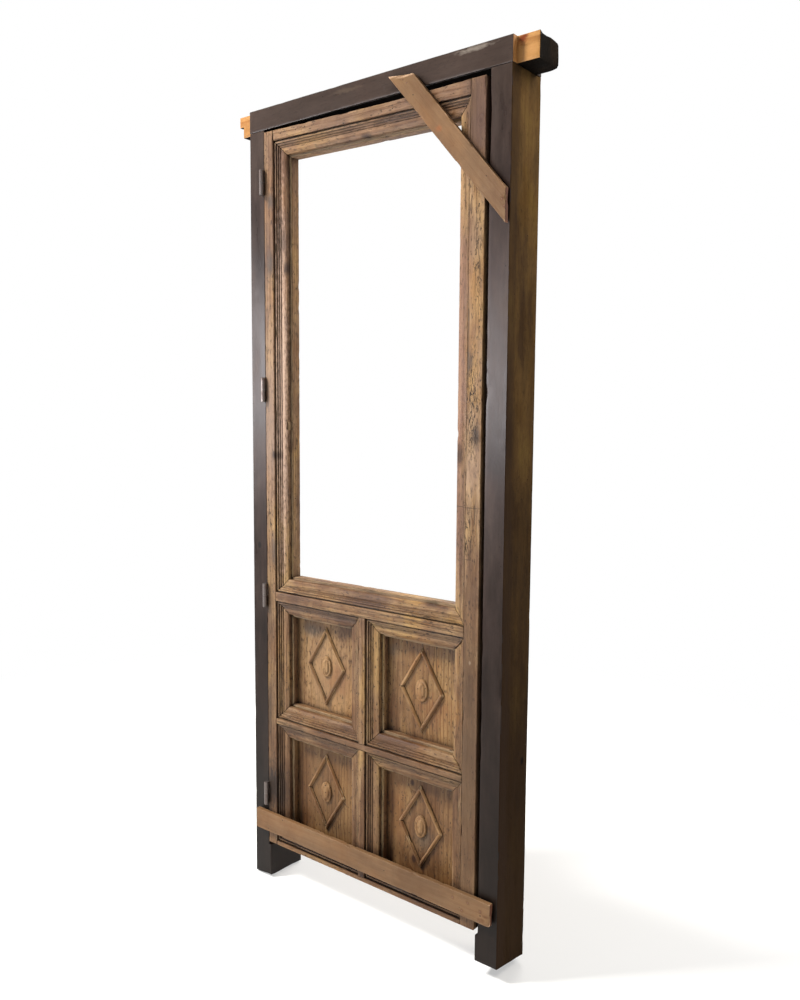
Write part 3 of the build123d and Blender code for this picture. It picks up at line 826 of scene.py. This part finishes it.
def forgedIron(name, look):
    material, put = newMaterial(name)
    place = put("ShaderNodeTexCoord", out="Object")
    forge = put("ShaderNodeTexNoise", {"Vector": place, "Scale": 160.0, "Detail": 5.0, "Roughness": 0.6})
    scale = put("ShaderNodeTexNoise", {"Vector": place, "Scale": 60.0, "Detail": 6.0, "Roughness": 0.65})
    rust = put("ShaderNodeMapRange", {"Value": scale, "From Min": 0.45, "From Max": 0.62,
                                      "To Max": look["rusty"]})
    edge = put("ShaderNodeAmbientOcclusion", {"Distance": 0.003}, out="AO", samples=6, inside=True)
    edge = put("ShaderNodeMapRange", {"Value": edge, "From Min": 0.6, "From Max": 0.3, "To Max": 0.7})
    colour = linear(look["skin"])
    for share, hexColour in ((rust, look["rust"]), (edge, look["rub"])):
        sockets = {0: share, 6: colour, 7: linear(hexColour)}
        colour = put("ShaderNodeMix", sockets, out=2, data_type="RGBA")
    metal = put("ShaderNodeMapRange", {"Value": rust, "To Min": 0.85, "To Max": 0.1})
    rough = put("ShaderNodeMapRange", {"Value": rust, "To Min": 0.38, "To Max": 0.8})
    bump = put("ShaderNodeBump", {"Height": forge, "Strength": 0.35, "Distance": 0.0006})
    shader = put("ShaderNodeBsdfPrincipled", {"Base Color": colour, "Metallic": metal, "Roughness": rough,
                                              "Normal": bump})
    put("ShaderNodeOutputMaterial", {0: shader}, out=None)
    return material


iron = forgedIron("wroughtIron", ironLook)
for n in range(1, 5):
    for half in ("post_half", "leaf_half"):
        cad = frame["nodes"][f"hinge_{n}_{half}"]
        cad.data.materials.clear()
        cad.data.materials.append(iron)
print("hinges finished")


# nails in the battens: flat hand-driven heads, set on points by one node tree
nailSpots = {
    "lower_batten": [(0.8595, 0.1956), (0.8558, 0.1683), (0.8194, 0.2062), (0.8010, 0.1780),
                     (0.7700, 0.2046), (0.6905, 0.1705), (0.4318, 0.1875), (-0.0048, 0.1938)],
    "corner_brace": [(0.8889, 2.0302), (0.8964, 2.0126), (0.5760, 2.3760), (0.5900, 2.3640)],
}
nailSizes = {"Head radius": 0.0027, "Head rise": 0.0007, "Size change": 0.25, "Seed": 7}


def nailTree():
    tree = bpy.data.node_groups.new("nails", "GeometryNodeTree")
    tree.interface.new_socket("Geometry", in_out="INPUT", socket_type="NodeSocketGeometry")
    for name, value in nailSizes.items():
        kind = "NodeSocketInt" if isinstance(value, int) else "NodeSocketFloat"
        tree.interface.new_socket(name, in_out="INPUT", socket_type=kind)
    tree.interface.new_socket("Material", in_out="INPUT", socket_type="NodeSocketMaterial")
    tree.interface.new_socket("Geometry", in_out="OUTPUT", socket_type="NodeSocketGeometry")
    put = functools.partial(addNode, tree)
    given = put("NodeGroupInput", out=None)
    radius, rise = given.outputs["Head radius"], given.outputs["Head rise"]
    top = put("ShaderNodeMath", {0: radius, 1: 0.6}, operation="MULTIPLY")
    head = put("GeometryNodeMeshCone", {"Vertices": 8, "Radius Top": top, "Radius Bottom": radius,
                                        "Depth": rise}, out="Mesh")
    low = put("ShaderNodeMath", {0: 1.0, 1: given.outputs["Size change"]}, operation="SUBTRACT")
    size = put("FunctionNodeRandomValue", {2: low, 3: 1.0, "Seed": given.outputs["Seed"]}, out=1,
               data_type="FLOAT")
    turn = put("FunctionNodeRandomValue", {2: 0.0, 3: 6.28, "Seed": given.outputs["Seed"]}, out=1,
               data_type="FLOAT")
    turned = put("ShaderNodeCombineXYZ", {"X": math.pi / 2, "Y": turn})
    nails = put("GeometryNodeInstanceOnPoints", {"Points": given.outputs["Geometry"], "Instance": head,
                                                 "Rotation": turned, "Scale": size})
    nails = put("GeometryNodeRealizeInstances", {"Geometry": nails})
    nails = put("GeometryNodeSetMaterial", {"Geometry": nails, "Material": given.outputs["Material"]})
    put("NodeGroupOutput", {"Geometry": nails}, out=None)
    return tree


nailIron = forgedIron("rustedNail", nailLook)
nailNodes = nailTree()
for node, spots in nailSpots.items():
    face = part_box(node)[0].y
    points = bpy.data.meshes.new("nail_points_" + node)
    points.from_pydata([(x, face, z) for x, z in spots], [], [])
    carrier = newObject("nail_points_" + node, points)
    modifier = carrier.modifiers.new("nails", "NODES")
    modifier.node_group = nailNodes
    inputs = {item.name: item.identifier for item in nailNodes.interface.items_tree if item.in_out == "INPUT"}
    for name, value in nailSizes.items():
        modifier[inputs[name]] = value
    modifier[inputs["Material"]] = nailIron
    graph = bpy.context.evaluated_depsgraph_get()
    mesh = bpy.data.meshes.new_from_object(carrier.evaluated_get(graph), preserve_all_data_layers=True,
                                           depsgraph=graph)
    bpy.data.objects.remove(carrier)
    nails = newObject("nails_" + node, mesh)
    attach(nails, frame["nodes"][node]["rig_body"])
    print("nails in", node, len(mesh.polygons), "faces")


# plain pale floor, fading to white with distance, and soft light
floorLook = {"reach": 14, "fadeFrom": 0.9, "fadeTo": 2.8, "least": 0.45, "colour": "#F6F5F3"}


def paleFloor():
    mesh = bpy.data.meshes.new("floor")
    reach = floorLook["reach"]
    corners = [(-reach, -reach, 0), (reach, -reach, 0), (reach, reach, 0), (-reach, reach, 0)]
    mesh.from_pydata(corners, [], [(0, 1, 2, 3)])
    floor = newObject("floor", mesh)
    material, put = newMaterial("paleFloor")
    place = put("ShaderNodeTexCoord", out="Object")
    far = put("ShaderNodeVectorMath", {0: place}, out="Value", operation="LENGTH")
    fades = {"Value": far, "From Min": floorLook["fadeFrom"], "From Max": floorLook["fadeTo"],
             "To Min": floorLook["least"]}
    far = put("ShaderNodeMapRange", fades, interpolation_type="SMOOTHSTEP")
    rays = put("ShaderNodeLightPath", out=None)
    both = {0: rays.outputs["Is Camera Ray"], 1: rays.outputs["Is Glossy Ray"]}
    seen = put("ShaderNodeMath", both, operation="ADD", use_clamp=True)
    fade = put("ShaderNodeMath", {0: far, 1: seen}, operation="MULTIPLY")
    matt = put("ShaderNodeBsdfDiffuse", {"Color": linear(floorLook["colour"])})
    glow = put("ShaderNodeEmission", {"Color": (1, 1, 1, 1), "Strength": 1.0})
    mixed = put("ShaderNodeMixShader", {0: fade, 1: matt, 2: glow})
    put("ShaderNodeOutputMaterial", {0: mixed}, out=None)
    mesh.materials.append(material)


paleFloor()

lightLook = {
    "key": {"at": (-2.9, -3.2, 5.9), "size": (1.4, 1.4), "watts": 950, "colour": "#FFFEFB"},
    "sheen": {"at": (-1.7, -2.7, 1.75), "size": (2.6, 0.9), "watts": 170, "colour": "#FDFBFF"},
    "side": {"at": (2.6, 1.0, 3.4), "size": (1.2, 1.2), "watts": 60, "colour": "#FFF8EE"},
    "back": {"at": (-0.6, 3.6, 3.6), "size": (2.0, 2.0), "watts": 130, "colour": "#FFFEFB"},
}
aim = Vector((0.42, 0.0, 1.15))
for name, lamp in lightLook.items():
    data = bpy.data.lights.new(name, "AREA")
    data.shape = "RECTANGLE"
    data.size, data.size_y = lamp["size"]
    data.energy = lamp["watts"]
    data.color = linear(lamp["colour"])[:3]
    light = newObject(name, data)
    light.location = lamp["at"]
    # the key lights the wood and the sheen lamp shows only in its wax
    light.visible_glossy = name != "key"
    light.visible_diffuse = name != "sheen"
    toDoor = aim - light.location
    light.rotation_euler = toDoor.to_track_quat("-Z", "Y").to_euler()

# soft fill from all round, with a white ground behind
worldLook = {"light": 0.27, "seen": 1.0}
world = bpy.data.worlds.new("studio")
bpy.context.scene.world = world
world.use_nodes = True
world.node_tree.nodes.clear()
put = functools.partial(addNode, world.node_tree)
rays = put("ShaderNodeLightPath", out=None)
both = {0: rays.outputs["Is Camera Ray"], 1: rays.outputs["Is Glossy Ray"]}
seen = put("ShaderNodeMath", both, operation="ADD", use_clamp=True)
seen = put("ShaderNodeMath", {0: seen, 1: rays.outputs["Is Transmission Ray"]}, operation="ADD",
           use_clamp=True)
level = put("ShaderNodeMapRange",
            {"Value": seen, "To Min": worldLook["light"], "To Max": worldLook["seen"]})
sky = put("ShaderNodeBackground", {"Color": (1, 1, 1, 1), "Strength": level})
put("ShaderNodeOutputWorld", {0: sky}, out=None)

# camera: the photograph's view, from eye height to the right of the latch side
cameraLook = {"at": (2.10507, -1.98756, 1.51283), "forward": (-0.623364, 0.775797, -0.097755),
              "up": (-0.066451, 0.072004, 0.995188), "lens": 40.416}
cameraData = bpy.data.cameras.new("camera")
cameraData.sensor_fit = "HORIZONTAL"
cameraData.sensor_width = 36
cameraData.lens = cameraLook["lens"]
camera = newObject("camera", cameraData)
back = -Vector(cameraLook["forward"]).normalized()
right = Vector(cameraLook["up"]).cross(back).normalized()
turn = Matrix((right, back.cross(right), back)).transposed().to_4x4()
camera.matrix_world = Matrix.Translation(cameraLook["at"]) @ turn
bpy.context.scene.camera = camera
bpy.context.scene.view_settings.view_transform = "Standard"
print("floor, light and camera made")
